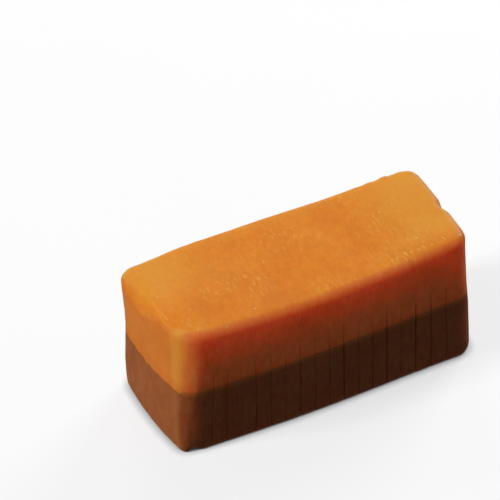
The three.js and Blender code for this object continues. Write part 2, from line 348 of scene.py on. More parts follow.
# %% [markdown]
# ## Rings
#
# One ring takes a height for every station and how far each is pulled inwards. Quarter rounds of rings make
# the edges of the base and of the top, and evenly spaced ones the wall between them.

# %% One ring
def nick_depth(x, y, z):
    """How deep the small dents in the edges reach at a point."""
    depth = np.zeros_like(x)
    for nick in NICKS:
        away = np.linalg.norm(np.stack([x, y, z], axis=-1) - nick["at"], axis=-1)
        depth = np.maximum(depth, nick["depth"] * bell(away / nick["reach"]))
    return depth


def ring(height, pull_in=0.0):
    """The points of a ring at these heights, pulled in from the wall."""
    x, y = outline(height)
    inwards = pull_in + nick_depth(x, y, height) + FACET["depth"] * pressed(height)
    sweep = SCORE_SWEEP * (height / SCORE_FADE[1]) ** 2 * bell(x / HALF["x"])
    return settled(x - sweep - face_x * inwards, y - face_y * inwards, height)


def rings_between(low, high, steps):
    """The rings between two heights, without the first and the last."""
    return [ring(mix(low, high, share)) for share in np.arange(1, steps) / steps]


# %% Rounded edges
BASE_STEPS, TOP_STEPS = 7, 14


def base_rings(radius):
    angles = np.linspace(0, TURN / 4, BASE_STEPS + 1)
    return [ring(radius * (1 - math.cos(a)), radius * (1 - math.sin(a))) for a in angles]


def top_at(pull_in):
    """The height of the top over each station, that far in from the wall."""
    x, y = outline(np.full(COUNT, HEIGHT))
    x = x - face_x * pull_in
    y = y - face_y * pull_in
    return top_height(x, y) + lump_height(x, y)


def top_rings(radius):
    """The rings of the top edge, which follow the top's own height all round."""
    made = []
    for angle in np.linspace(0, TURN / 4, TOP_STEPS + 1):
        pull_in = radius * (1 - math.cos(angle))
        made.append(ring(top_at(pull_in) - radius * (1 - math.sin(angle)), pull_in))
    return made


# %% [markdown]
# ## Lids
#
# A lid closes a ring towards a line along the middle of the block, its spine, so it has no single crowded
# pole. Each inner ring is a share of the rim and lies on the formula for the top or for the seam.

# %% Lid rings
SPINE_HALF = HALF["x"] - HALF["y"]
ROUNDED = 6  # decimals at which two spine places count as one

spine_x = np.clip(outline(np.zeros(COUNT))[0], -SPINE_HALF, SPINE_HALF).round(ROUNDED)
spine_places, spine_index = np.unique(spine_x, return_inverse=True)


def lid_ring(rim, share, height_at):
    """A smaller copy of the rim. It stands off the lid's formula less and less than the rim does."""
    x, y, z = rim.T
    lift = z - height_at(x, y)
    inner_x = mix(spine_x, x, share)
    inner_y = y * share
    return np.stack([inner_x, inner_y, height_at(inner_x, inner_y) + lift * share**4], axis=-1)


def spine(height_at):
    return np.stack([spine_places, 0 * spine_places, height_at(spine_places, 0 * spine_places)], axis=-1)


# %% [markdown]
# ## From rings to a mesh
#
# All rings have the same number of points, so the faces between two rings are a simple pattern. Attributes
# go with every point: how far along its side it stands, and how much it belongs to the wall, to a cut long
# side, to the seam, to the left corners, which are partly rubbed and partly take painted sheen, to the
# painted highlight of the left top edge, to painted light on the top and to a face that shows. The relief
# and the finish follow them, so the score marks stay on their stations where the block bulges, and both
# layers move alike where they meet.

# %% Cut and rubbed places, a painted highlight and painted light
# How squarely a station has to face forwards or backwards to count as part of a cut long side.
CUT_SIDE = {"slope": 2.2, "start": 0.9}
# How the two left upright corners are tinted paler, partly as rubbed wear and partly as painted sheen, below
# and above a stretch of heights: where, counted from the start of the side before, and how strongly.
CORNER_WEAR_AND_SHEEN = {"from_to": (11, 14.5), "at": (0.6, 0.66), "reach": 0.17, "depth": (0.75, 1)}
# A painted highlight along the left top edge: where on its rounding, which goes from 0 to 1, and how strong.
CREST_HIGHLIGHT = {"at": 0.7, "half": 0.3, "depth": 0.5}
# Painted light: the top is lighter towards its two ends and along its back edge. The stretches along X and Y
# over which this sets in, and how strong it is.
PAINTED_LIGHT_ENDS = [((7, 16), (-6.5, -3.5)), ((-7, -16), (-3, 5))]
PAINTED_LIGHT_BACK = {"y": (4.5, 7), "share": 0.5}
station_place = anchor_x + pull_x * mix(corner_base, corner_top, 0.5)


def between(value, start, finish):
    """From 0 at the start to 1 at the finish, with a soft start and end."""
    return smooth((value - start) / (finish - start))


def dried(x, y):
    """How much painted light a point of the top takes: towards its two ends and along its back edge."""
    ends = sum(between(x, *along) * between(y, *across) for along, across in PAINTED_LIGHT_ENDS)
    return np.maximum(ends, PAINTED_LIGHT_BACK["share"] * between(y, *PAINTED_LIGHT_BACK["y"]))


def wall_attributes(wall, rounding):
    """What the relief and the finish follow on a ring of the wall, station by station."""
    # The left corners are tinted paler, partly as rubbed wear and partly as painted sheen.
    near_top = between(wall[:, 2], *CORNER_WEAR_AND_SHEEN["from_to"])
    at = mix(*CORNER_WEAR_AND_SHEEN["at"], near_top)
    corner_wear_and_sheen = mix(*CORNER_WEAR_AND_SHEEN["depth"], near_top) * (anchor_x < 0) * bell((turn % 1 - at) / CORNER_WEAR_AND_SHEEN["reach"])
    # A painted highlight along the left top edge.
    crest_highlight = CREST_HIGHLIGHT["depth"] * bell((rounding - CREST_HIGHLIGHT["at"]) / CREST_HIGHLIGHT["half"])
    crest_highlight = crest_highlight * np.maximum(0, -face_x) ** 2
    # Over the rounding of the top edge the wall turns into the top, sooner at the back and on the right.
    sooner = np.clip(np.maximum(face_x, face_y), 0, 1)
    below_top = 1 - smooth(2 * rounding - 1 + sooner)
    return {
        "place_along": station_place,
        "cut_side": smooth(np.abs(face_y) * CUT_SIDE["slope"] - CUT_SIDE["start"]) * below_top,
        "wall": below_top * (1 - pressed(wall[:, 2])),
        "worn_and_highlit": np.maximum(corner_wear_and_sheen, crest_highlight),
    }


# %% Faces
def band(first, second):
    """The faces between two rings, given by the number of their first points."""
    here = np.arange(COUNT)
    after = (here + 1) % COUNT
    return np.stack([first + here, first + after, second + after, second + here], axis=-1).tolist()


def fan(rim, spine_start):
    """The faces between the innermost ring of a lid and its spine."""
    faces = []
    for here in range(COUNT):
        after = (here + 1) % COUNT
        inner = [spine_start + spine_index[after], spine_start + spine_index[here]]
        # Two stations that share a place on the spine make a triangle with it.
        faces.append([rim + here, rim + after] + inner[: 1 + (inner[0] != inner[1])])
    return faces


# %% One closed layer
SHOWN_FROM = 0.5  # the height above the table at which the relief has its full depth


def layer_mesh(name, lower_lid, walls, upper_lid, seam_ring, shown_lid):
    """A closed mesh from a lid (its shares and heights) below, the rings of the wall and a lid above."""
    points, faces = [], []

    def add_ring(ring_points):
        """Keeps a ring's points and gives the number of the first one."""
        first = sum(len(kept) for kept in points)
        points.append(ring_points)
        return first

    starts = [add_ring(wall) for wall in walls]
    for low, high in zip(starts, starts[1:]):
        faces += band(low, high)
    shown = [np.clip(wall[:, 2] / SHOWN_FROM, 0, 1) for wall in walls]
    for lid, rim, start in ((lower_lid, walls[0], starts[0]), (upper_lid, walls[-1], starts[-1])):
        shares, height_at = lid
        lid_faces = []
        for share in shares:
            inner = add_ring(lid_ring(rim, share, height_at))
            lid_faces += band(start, inner)
            start = inner
        lid_faces += fan(start, add_ring(spine(height_at)))
        # The lower lid looks down, so its faces are turned over.
        faces += [face[::-1] for face in lid_faces] if lid is lower_lid else lid_faces
        shown.append(np.full(len(shares) * COUNT + len(spine_places), float(lid is shown_lid)))
    mesh = bpy.data.meshes.new(name)
    mesh.from_pydata((np.concatenate(points) - centre).tolist(), [], faces)

    keys = ("place_along", "cut_side", "wall", "worn_and_highlit", "on_seam")
    attributes = {key: np.zeros(len(mesh.vertices)) for key in keys}
    roundings = np.zeros(len(walls))
    if shown_lid:
        roundings[-TOP_STEPS - 1 :] = np.linspace(0, 1, TOP_STEPS + 1)
    for start, wall, rounding in zip(starts, walls, roundings):
        for key, values in wall_attributes(wall, rounding).items():
            attributes[key][start : start + COUNT] = values
    attributes["on_seam"][starts[seam_ring] :][:COUNT] = 1
    attributes["shown"] = np.concatenate(shown)
    x, y, _ = np.concatenate(points).T
    # Painted light: the top is lighter towards its ends and along its back edge.
    attributes["dried"] = dried(x, y) * (1 - attributes["wall"])
    for key, values in attributes.items():
        mesh.attributes.new(key, "FLOAT", "POINT").data.foreach_set("value", values)
    return mesh


# %% The two layers
WALL_STEP = 0.2
LID_STEP, HIDDEN_LID_STEP = 0.2, 1.2


def flat_base(x, y):
    return 0 * x


def lid_shares(step):
    """The sizes of a lid's rings against its rim, from the rim inwards."""
    steps = int(HALF["y"] / step)
    return np.arange(1, steps)[::-1] / steps


seam_line = seam_height(*outline(np.full(COUNT, SEAM_HEIGHT))) + seam_teeth()
seam = ring(seam_line)
base_radius, top_radius = by_side(BASE_RADIUS), by_side(TOP_RADIUS)
shoulder = top_at(0) - top_radius

chocolate_walls = base_rings(base_radius)
chocolate_walls += rings_between(base_radius, seam_line, round(SEAM_HEIGHT / WALL_STEP)) + [seam]
caramel_walls = [seam] + rings_between(seam_line, shoulder, round((HEIGHT - SEAM_HEIGHT) / WALL_STEP))
caramel_walls += top_rings(top_radius)

# The two ends settle unequally, so the outline is centred on the origin again.
reach = np.concatenate(chocolate_walls + caramel_walls)
centre = (reach.min(axis=0) + reach.max(axis=0)) / 2 * (1, 1, 0)
print("centred by", centre.round(3), "mm")

hidden, fine = lid_shares(HIDDEN_LID_STEP), lid_shares(LID_STEP)
underside, top = (hidden, flat_base), (fine, top_height)
seam_lid = (hidden, seam_height)
chocolate_mesh = layer_mesh("chocolate_form", underside, chocolate_walls, seam_lid, -1, None)
caramel_mesh = layer_mesh("caramel_form", seam_lid, caramel_walls, top, 0, top)
for mesh in (chocolate_mesh, caramel_mesh):
    print(mesh.name, "has", len(mesh.polygons), "faces")

# %% [markdown]
# ## One helper for all nodes
#
# Geometry Nodes and materials are both node trees. A single function adds a node, sets its options and
# fills its inputs, with a value or with the node that feeds it. Inputs go by name, but the nodes for maths,
# mixing and ranges have inputs that share names, so theirs go by number, from 0. A Map Range node takes its
# value (0), the range it comes from (1 and 2) and the range it goes to (3 and 4), by default both 0 to 1.

# %% Adding a node
def add(tree, kind, inputs=None, **settings):
    """Adds a node. An input takes a value, a node (its first output) or one output of a node."""
    made = tree.nodes.new(kind)
    for name, value in settings.items():
        setattr(made, name, value)
    for socket, value in (inputs or {}).items():
        if isinstance(value, bpy.types.Node):
            value = value.outputs[0]
        if isinstance(value, bpy.types.NodeSocket):
            tree.links.new(value, made.inputs[socket])
        else:
            made.inputs[socket].default_value = value
    return made


def new_tree(name, sizes):
    """A Geometry Nodes tree with geometry in and out, a finish, and a named input for each size."""
    tree = bpy.data.node_groups.new(name, "GeometryNodeTree")
    tree.interface.new_socket("Geometry", in_out="INPUT", socket_type="NodeSocketGeometry")
    tree.interface.new_socket("Geometry", in_out="OUTPUT", socket_type="NodeSocketGeometry")
    tree.interface.new_socket("Finish", in_out="INPUT", socket_type="NodeSocketMaterial")
    for size, value in sizes.items():
        kind = "NodeSocketInt" if isinstance(value, int) else "NodeSocketFloat"
        tree.interface.new_socket(size, in_out="INPUT", socket_type=kind).default_value = value
    return tree


def finish_tree(tree, geometry, finish):
    """The last nodes of every tree: from mm to metres, instances made real, and the finish."""
    in_metres = add(tree, "GeometryNodeTransform", {"Geometry": geometry, "Scale": (MM, MM, MM)})
    realized = add(tree, "GeometryNodeRealizeInstances", {"Geometry": in_metres})
    finished = add(tree, "GeometryNodeSetMaterial", {"Geometry": realized, "Material": finish})
    add(tree, "NodeGroupOutput", {"Geometry": finished})


SHARP_FROM = math.radians(60)  # a fold sharper than this isn't smoothed over


def run_tree(tree, mesh, name, **inputs):
    """Runs a tree on a mesh, with some of its inputs set, and gives the result back as a plain object."""
    carrier = bpy.data.objects.new(name + "_carrier", mesh)
    bpy.context.scene.collection.objects.link(carrier)
    modifier = carrier.modifiers.new("nodes", "NODES")
    modifier.node_group = tree
    for socket in tree.interface.items_tree:
        key = socket.name.lower().replace(" ", "_")
        if socket.in_out == "INPUT" and key in inputs:
            modifier[socket.identifier] = inputs[key]
    depsgraph = bpy.context.evaluated_depsgraph_get()
    made = bpy.data.meshes.new_from_object(
        carrier.evaluated_get(depsgraph), preserve_all_data_layers=True, depsgraph=depsgraph
    )
    bpy.data.objects.remove(carrier)
    made.name = name
    made.shade_smooth()
    made.set_sharp_from_angle(angle=SHARP_FROM)
    piece = bpy.data.objects.new(name, made)
    bpy.context.scene.collection.objects.link(piece)
    print(name, "has", sum(len(face.vertices) - 2 for face in made.polygons), "triangles")
    return piece


# %% [markdown]
# ## Relief of the cut surfaces
#
# The guides of the cutter left upright score marks on both long sides, deeper towards the right and gone
# towards the top. The blade dragged finer lines between them, and the whole surface has the soft grain of
# set caramel. The marks could be cut with booleans, but they are only dents in a skin, so a Geometry Nodes
# tree moves the points: it reads each point's place along its side and works out a depth. The tree works in
# millimetres and its last step turns the result to metres.

# %% Sizes of the relief
RELIEF = {
    "Mark Pitch": SCORE["pitch"],
    "Mark Width": SCORE["width"],
    "First Mark": SCORE["first"],
    "Run Middle": SCORE["first"] + SCORE["pitch"] * (SCORE["count"] - 1) / 2,
    "Run Half Length": SCORE["pitch"] * SCORE["count"] / 2,
    "Depth Left": SCORE["left"],
    "Depth Right": SCORE["right"],
    "Fade Start": SCORE_FADE[0],
    "Fade End": SCORE_FADE[1],
}
# Each kind of fine relief: the mm over which it changes along X, Y and Z, its depth, and the attribute that
# it follows, if any.
FINE_RELIEF = {
    "drag lines": {"size": (0.28, 60, 12), "depth": 0.01, "where": "cut_side"},
    "grain": {"size": (0.3, 0.8, 1.2), "depth": 0.02},
    "dimples": {"size": (2.2, 2.6, 2.6), "depth": 0.07},
}
NOISE_RANGE = {1: 0.2, 2: 0.8}  # the values that nearly all of a noise lies between
MARK_RHYTHM = 2.3  # how fast the depth changes from mark to mark
SHALLOWEST = 0.5  # the depth of the shallowest mark against the deepest near it


# %% Score marks
def score_marks(tree, size, position, follows):
    """Nodes for the depth of the score marks at each point, in mm."""
    place = follows["place_along"]
    height = add(tree, "ShaderNodeSeparateXYZ", {0: position}).outputs["Z"]
    parts = (("Mark Pitch", 0.5), ("Mark Pitch", -0.5), ("Mark Width", 0.5), ("First Mark", -1.0))
    half_pitch, minus_half, half_width, run_end = (
        add(tree, "ShaderNodeMath", {0: size[key], 1: part}, operation="MULTIPLY") for key, part in parts
    )
    # How far a point is off the nearest mark, and which mark that is, counted from the first.
    from_first = add(tree, "ShaderNodeMath", {0: place, 1: size["First Mark"]}, operation="SUBTRACT")
    off = add(tree, "ShaderNodeMath", {0: from_first, 1: half_pitch, 2: minus_half}, operation="WRAP")
    distance = add(tree, "ShaderNodeMath", {0: off}, operation="ABSOLUTE")
    middle = add(tree, "ShaderNodeMath", {0: from_first, 1: off}, operation="SUBTRACT")
    mark = add(tree, "ShaderNodeMath", {0: middle, 1: size["Mark Pitch"]}, operation="DIVIDE")
    # Some marks are deeper than others.
    rhythm = add(tree, "ShaderNodeMath", {0: mark, 1: MARK_RHYTHM}, operation="MULTIPLY")
    wave = add(tree, "ShaderNodeMath", {0: rhythm}, operation="SINE")
    factors = [
        add(tree, "ShaderNodeMapRange", {0: distance, 2: half_width, 3: 1.0, 4: 0.0},
            interpolation_type="SMOOTHSTEP"),
        add(tree, "ShaderNodeMapRange",
            {0: height, 1: size["Fade Start"], 2: size["Fade End"], 3: 1.0, 4: 0.0},
            interpolation_type="SMOOTHSTEP"),
        add(tree, "ShaderNodeMapRange", {0: wave, 1: -1.0, 3: SHALLOWEST}),
        add(tree, "ShaderNodeMath", {0: place, 1: size["Run Middle"], 2: size["Run Half Length"]},
            operation="COMPARE"),
        follows["cut_side"],
    ]
    depth = add(tree, "ShaderNodeMapRange",
                {0: place, 1: size["First Mark"], 2: run_end, 3: size["Depth Left"], 4: size["Depth Right"]})
    for factor in factors:
        depth = add(tree, "ShaderNodeMath", {0: depth, 1: factor}, operation="MULTIPLY")
    return depth


# %% The relief tree
def relief_tree():
    """Moves the points of a layer along their normals and keeps how deeply each was scored."""
    tree = new_tree("cut_caramel_relief", RELIEF)
    size = add(tree, "NodeGroupInput").outputs
    position = add(tree, "GeometryNodeInputPosition")
    follows = {
        key: add(tree, "GeometryNodeInputNamedAttribute", {"Name": key}, data_type="FLOAT")
        for key in ("place_along", "cut_side", "on_seam", "shown")
    }
    marks = score_marks(tree, size, position, follows)
    rise = add(tree, "ShaderNodeMath", {0: marks, 1: -1.0}, operation="MULTIPLY")
    for relief in FINE_RELIEF.values():
        stretched = add(tree, "ShaderNodeVectorMath", {0: position, 1: relief["size"]}, operation="DIVIDE")
        noise = add(tree, "ShaderNodeTexNoise", {"Vector": stretched, "Scale": 1.0, "Detail": 2.0})
        level = add(tree, "ShaderNodeMapRange",
                    {0: noise, **NOISE_RANGE, 3: -relief["depth"] / 2, 4: relief["depth"] / 2})
        where = follows.get(relief.get("where"), 1.0)
        level = add(tree, "ShaderNodeMath", {0: level, 1: where}, operation="MULTIPLY")
        rise = add(tree, "ShaderNodeMath", {0: rise, 1: level}, operation="ADD")
    rise = add(tree, "ShaderNodeMath", {0: rise, 1: follows["shown"]}, operation="MULTIPLY")
    # On the seam a point moves level, so that it stays with its twin in the other layer.
    normal = add(tree, "GeometryNodeInputNormal")
    level = add(tree, "ShaderNodeVectorMath", {0: normal, 1: (1, 1, 0)}, operation="MULTIPLY")
    level = add(tree, "ShaderNodeVectorMath", {0: level}, operation="NORMALIZE")
    way = add(tree, "ShaderNodeMix", {"Factor": follows["on_seam"], 4: normal, 5: level}, data_type="VECTOR")
    offset = add(tree, "ShaderNodeVectorMath", {0: way.outputs[1], "Scale": rise}, operation="SCALE")
    moved = add(tree, "GeometryNodeSetPosition", {"Geometry": size["Geometry"], "Offset": offset})
    # The depth of the marks is kept for the finish, which paints shade into them.
    scored = add(tree, "ShaderNodeMath", {0: marks, 1: size["Depth Right"]}, operation="DIVIDE")
    marked = add(tree, "GeometryNodeStoreNamedAttribute",
                 {"Geometry": moved, "Name": "scored", "Value": scored}, data_type="FLOAT", domain="POINT")
    finish_tree(tree, marked, size["Finish"])
    return tree


# %% [markdown]
# ## Nibs and sugar grains
#
# Close up, the top is dotted with tiny raised nibs, drawn out across the block by the cutter, and a row of
# larger ones follows the right part of its front edge. A few sugar grains have set on it and catch the
# light. A particle system could scatter them, but Geometry Nodes keep the rule in plain sight: points on
# the faces or along a line, a small shape on each, and everything made real at the end.

# %% Small pieces
ACROSS = (-0.2, 0.7, 0.7)  # the way a piece is drawn out: across the top and up the sides
SMALLEST, LARGEST = (0.5, 0.5, 0.6), (1.3, 1.5, 1.4)  # of the pieces, against their plain size


def sized_pieces(tree, size, points, normal, seed):
    """Small rounded pieces on points, each of its own size, half sunk and drawn out across the block."""
    shape = add(tree, "GeometryNodeMeshIcoSphere", {"Radius": 1.0, "Subdivisions": 2})
    sizes = {0: size["Half Width"], 1: size["Half Length"], 2: size["Half Height"]}
    plain = add(tree, "ShaderNodeCombineXYZ", sizes)
    uneven = add(tree, "FunctionNodeRandomValue", {0: SMALLEST, 1: LARGEST, "Seed": seed},
                 data_type="FLOAT_VECTOR")
    scale = add(tree, "ShaderNodeVectorMath", {0: plain, 1: uneven}, operation="MULTIPLY")
    upright = add(tree, "FunctionNodeAlignRotationToVector", {"Vector": normal}, axis="Z")
    across = add(tree, "FunctionNodeAlignRotationToVector", {"Rotation": upright, "Vector": ACROSS},
                 axis="Y", pivot_axis="Z")
    return add(tree, "GeometryNodeInstanceOnPoints",
               {"Points": points, "Instance": shape, "Rotation": across, "Scale": scale})


# %% Scattering over the top
SCATTER = {"Pieces per Square mm": 0.07, "Half Width": 0.085, "Half Length": 0.085, "Half Height": 0.05}
TOP_FROM = 0.8  # a face whose normal points up more than this belongs to the top
DRIFTS = {"per_mm": 0.3, "start": 0.4, "full": 0.65}  # how close drifts lie, and the noise they grow from


def scatter_tree(seed):
    """Pieces on the top, which lie in drifts rather than evenly."""
    tree = new_tree("scattered_on_cut_faces", SCATTER)
    size = add(tree, "NodeGroupInput").outputs
    up = add(tree, "ShaderNodeSeparateXYZ", {0: add(tree, "GeometryNodeInputNormal")}).outputs["Z"]
    on_top = add(tree, "FunctionNodeCompare", {0: up, 1: TOP_FROM}, operation="GREATER_THAN")
    place = add(tree, "GeometryNodeInputPosition")
    drift = add(tree, "ShaderNodeTexNoise", {"Vector": place, "Scale": DRIFTS["per_mm"]})
    share = add(tree, "ShaderNodeMapRange", {0: drift, 1: DRIFTS["start"], 2: DRIFTS["full"]})
    density = add(tree, "ShaderNodeMath", {0: share, 1: size["Pieces per Square mm"]}, operation="MULTIPLY")
    points = add(tree, "GeometryNodeDistributePointsOnFaces",
                 {"Mesh": size["Geometry"], "Selection": on_top, "Density": density, "Seed": seed})
    pieces = sized_pieces(tree, size, points, points.outputs["Normal"], seed)
    finish_tree(tree, pieces, size["Finish"])
    return tree


# %% A row along an edge
ROW = {"First X": 8.6, "Y": -5.6, "Pitch": 0.85, "Count": 11, "Stray": 0.3,
       "Half Width": 0.16, "Half Length": 0.35, "Half Height": 0.02}
ABOVE = 20.0  # a height over the whole block, from which the row is dropped onto it


def row_tree(seed):
    """Pieces dropped onto the block along a straight line, each a little off it."""
    tree = new_tree("row_along_edge", ROW)
    size = add(tree, "NodeGroupInput").outputs
    start = add(tree, "ShaderNodeCombineXYZ", {0: size["First X"], 1: size["Y"], 2: ABOVE})
    step = add(tree, "ShaderNodeCombineXYZ", {0: size["Pitch"]})
    line = add(tree, "GeometryNodeMeshLine",
               {"Count": size["Count"], "Start Location": start, "Offset": step})
    minus = add(tree, "ShaderNodeMath", {0: size["Stray"], 1: -1.0}, operation="MULTIPLY")
    low = add(tree, "ShaderNodeCombineXYZ", {0: minus, 1: minus})
    high = add(tree, "ShaderNodeCombineXYZ", {0: size["Stray"], 1: size["Stray"]})
    stray = add(tree, "FunctionNodeRandomValue", {0: low, 1: high, "Seed": seed}, data_type="FLOAT_VECTOR")
    off = add(tree, "GeometryNodeSetPosition", {"Geometry": line, "Offset": stray})
    down = add(tree, "GeometryNodeRaycast",
               {"Target Geometry": size["Geometry"], "Ray Direction": (0, 0, -1)})
    dropped = add(tree, "GeometryNodeSetPosition",
                  {"Geometry": off, "Position": down.outputs["Hit Position"]})
    normal = add(tree, "GeometryNodeSampleNearestSurface",
                 {"Mesh": size["Geometry"], "Value": add(tree, "GeometryNodeInputNormal")},
                 data_type="FLOAT_VECTOR")
    pieces = sized_pieces(tree, size, dropped, normal, seed)
    finish_tree(tree, pieces, size["Finish"])
    return tree


# %% [markdown]
# ## The caramel finish
#
# Both layers are boiled sugar, cream and butter, cast and then cut, and the lower one has cocoa in it.
# Light goes in and comes out again a millimetre or two away, reddened, which is why a lit edge glows into
# its shaded side. A plain orange with some gloss would look like plastic, so all the colour here comes from
# subsurface scattering. The cut surface is satin, with a grain drawn out across the block and soft clouds
# where butter has gathered. These and other tints are laid one over the other, like glazes. Some of them are
# painted light: the top is lighter towards its ends and along its back edge, the left top edge carries a
# painted highlight, the left corners painted sheen over some rubbed wear and the score marks painted shade,
# and the long sides take a tint set for shade.

# %% Colour and pattern helpers
def srgb(hex_colour):
    """A hex colour, as it is seen, in the linear values that shaders take."""
    parts = [int(hex_colour[i : i + 2], 16) / 255 for i in (1, 3, 5)]
    return (*(c / 12.92 if c <= 0.04045 else ((c + 0.055) / 1.055) ** 2.4 for c in parts), 1)


def new_material(name):
    material = bpy.data.materials.new(name)
    material.use_nodes = True
    material.node_tree.nodes.clear()
    return material, material.node_tree


def finish_material(material, looks):
    """The last nodes of every material: one shader with these looks, shown on the surface."""
    tree = material.node_tree
    add(tree, "ShaderNodeOutputMaterial", {"Surface": add(tree, "ShaderNodeBsdfPrincipled", looks)})
    print(material.name, "has", len(tree.nodes), "nodes")
    return material


# %% Patterns
NOISE_PEAKS = 0.7  # the value from which a noise counts as full


def pattern(tree, sizes, detail=2.0, shift=0.0, low=0.3):
    """Noise with features of these sizes in mm, from 0 to 1. A higher low leaves only its peaks."""
    place = add(tree, "ShaderNodeTexCoord").outputs["Object"]
    per_metre = [1 / (size * MM) for size in sizes]
    scaled = add(tree, "ShaderNodeMapping",
                 {"Vector": place, "Location": (shift, shift, shift), "Scale": per_metre})
    noise = add(tree, "ShaderNodeTexNoise", {"Vector": scaled, "Scale": 1.0, "Detail": detail})
    return add(tree, "ShaderNodeMapRange", {0: noise, 1: low, 2: NOISE_PEAKS})


def tinted(tree, colour, share_node, tint, strength):
    """A colour mixed towards a tint where the pattern is high."""
    share = add(tree, "ShaderNodeMath", {0: share_node, 1: strength}, operation="MULTIPLY")
    mixed = add(tree, "ShaderNodeMix", {0: share, 6: colour, 7: tint}, data_type="RGBA")
    return mixed.outputs[2]


# The patterns of a caramel, in mm along X, Y and Z. The crystals of its sugar are far too fine to show, so
# they are drawn as coarse as they need to be to break up the gloss.
CARAMEL_PATTERNS = {
    "clouds": {"sizes": (3.5, 4.5, 4.5), "shift": 3.0},
    "mottle": {"sizes": (0.7, 1.1, 1.1), "detail": 3.0, "shift": 5.0},
    "grain": {"sizes": (0.22, 0.6, 1.4), "shift": 7.0},
    "dabs": {"sizes": (0.3, 1.1, 1.1), "detail": 1.0, "shift": 9.0, "low": 0.58},
    "drifts": {"sizes": (7.0, 5.0, 9.0), "detail": 0.0, "shift": 2.0, "low": 0.45},
    "crystals": {"sizes": (0.16, 0.16, 0.16), "detail": 1.0},
}


# %% Near the seam
FUSED = 5.0  # mm over which the seam holds light back
HELD_BACK = 0.1  # how far light goes at the seam, against elsewhere
BLENDED = 1.6  # mm over which cocoa has crept into the milk caramel
SMEARED = 0.55  # mm over which the cutter has smeared one layer into the other on the long sides


def near_seam(tree, cut_side):
    """How blended and how smeared the layers are at each point, and how far light goes there, in metres."""
    place = add(tree, "ShaderNodeSeparateXYZ", {0: add(tree, "ShaderNodeTexCoord").outputs["Object"]})
    above = add(tree, "ShaderNodeMath", {0: place.outputs["Z"], 1: SEAM_HEIGHT * MM}, operation="SUBTRACT")
    away = add(tree, "ShaderNodeMath", {0: above}, operation="ABSOLUTE")
    blended = add(tree, "ShaderNodeMapRange", {0: away, 2: BLENDED * MM, 3: 1.0, 4: 0.0})
    smeared = add(tree, "ShaderNodeMapRange", {0: away, 2: SMEARED * MM, 3: 1.0, 4: 0.0},
                  interpolation_type="SMOOTHSTEP")
    smeared = add(tree, "ShaderNodeMath", {0: smeared, 1: cut_side}, operation="MULTIPLY")
    # The layers are fused, but in Blender light that reaches the hidden lid is lost. So it goes less far
    # there, and near the table too.
    inside = add(tree, "ShaderNodeMath", {0: away, 1: place.outputs["Z"]}, operation="MINIMUM")
    reach = add(tree, "ShaderNodeMapRange", {0: inside, 2: FUSED * MM, 3: HELD_BACK * MM, 4: MM})
    return blended, smeared, reach


# %% The finish of a cut caramel
# What tints it, one after the other: where, with which of its colours, and how strongly.
# Of these, the tint for the ends and back edge of the top is painted light, the tint of the crest and the
# left corners is a painted highlight and painted sheen over some rubbed wear, the tint of the score marks is
# painted shade, and the tint of the long sides is set for sides in shade.
TINTS = [
    ("wall", "end", 1.0), ("cut_side", "side", 1.0), ("clouds", "clouds", 0.5), ("mottle", "clouds", 0.45),
    ("dried", "painted_light", 0.4), ("grain", "specks", 0.15), ("dabs", "specks", 0.6), ("worn_and_highlit", "worn_and_highlit", 0.9),
    ("scored", "scored", 0.3), ("blended", "seam", 0.4), ("smeared", "smear", 0.9),
]
SATIN = (-0.06, 0.08)  # how much smoother and rougher than its plain roughness the grain makes it
BUMP = {"Strength": 0.35, "Distance": 0.03 * MM}


def caramel_finish(name, colours, skin, fresh, roughness):
    """A cut caramel. Red, green and blue light go as far as skin, in mm, and in the cut sides as fresh."""
    material, tree = new_material(name)
    where = {key: pattern(tree, **values) for key, values in CARAMEL_PATTERNS.items()}
    for key in ("wall", "cut_side", "dried", "worn_and_highlit", "scored"):
        where[key] = add(tree, "ShaderNodeAttribute", attribute_name=key).outputs["Fac"]
    on_top = add(tree, "ShaderNodeMath", {0: 1.0, 1: where["wall"]}, operation="SUBTRACT")
    for limit in (where["drifts"], on_top):
        where["dabs"] = add(tree, "ShaderNodeMath", {0: where["dabs"], 1: limit}, operation="MULTIPLY")
    where["blended"], where["smeared"], reach = near_seam(tree, where["cut_side"])
    colour = srgb(colours["top"])
    for place, tint, strength in TINTS:
        colour = tinted(tree, colour, where[place], srgb(colours[tint]), strength)
    smoother, rougher = SATIN
    satin = add(tree, "ShaderNodeMapRange",
                {0: where["grain"], 3: roughness + smoother, 4: roughness + rougher})
    height = add(tree, "ShaderNodeMath", {0: where["grain"], 1: where["crystals"]}, operation="ADD")
    bump = add(tree, "ShaderNodeBump", {**BUMP, "Height": height})
    scatter = add(tree, "ShaderNodeMix", {0: where["cut_side"], 4: skin, 5: fresh}, data_type="VECTOR")
    return finish_material(material, {
        "Base Color": colour, "Roughness": satin, "Normal": bump, "IOR": 1.48, "Specular IOR Level": 0.06,
        "Subsurface Weight": 1.0, "Subsurface Scale": reach, "Subsurface Radius": scatter.outputs[1],
    })


# %% Milk caramel and chocolate caramel
# In both colour sets the paler tint for the ends and back edge of the top is painted light, the paler tint
# of the crest and the left corners is a painted highlight and painted sheen over some rubbed wear, and the
# dark tint of the score marks is painted shade. The tint of the long sides is set for sides in shade: in the
# chocolate it is darker than the ends, as painted shade, and in the milk caramel it is pinker, where it
# paints the glow under the lit top edge.
SMEAR = "#a85424"  # one layer dragged over the other
# Cream and butter make a warm, cloudy orange that light goes deep into. Its shaded sides glow red.
MILK = {
    "top": "#ff760c", "painted_light": "#ffa02c", "end": "#fa7028", "side": "#fa703e", "clouds": "#d6580c",
    "specks": "#ff9a3c", "worn_and_highlit": "#ff9032", "scored": "#7a3008", "seam": "#c84c1c", "smear": SMEAR,
}
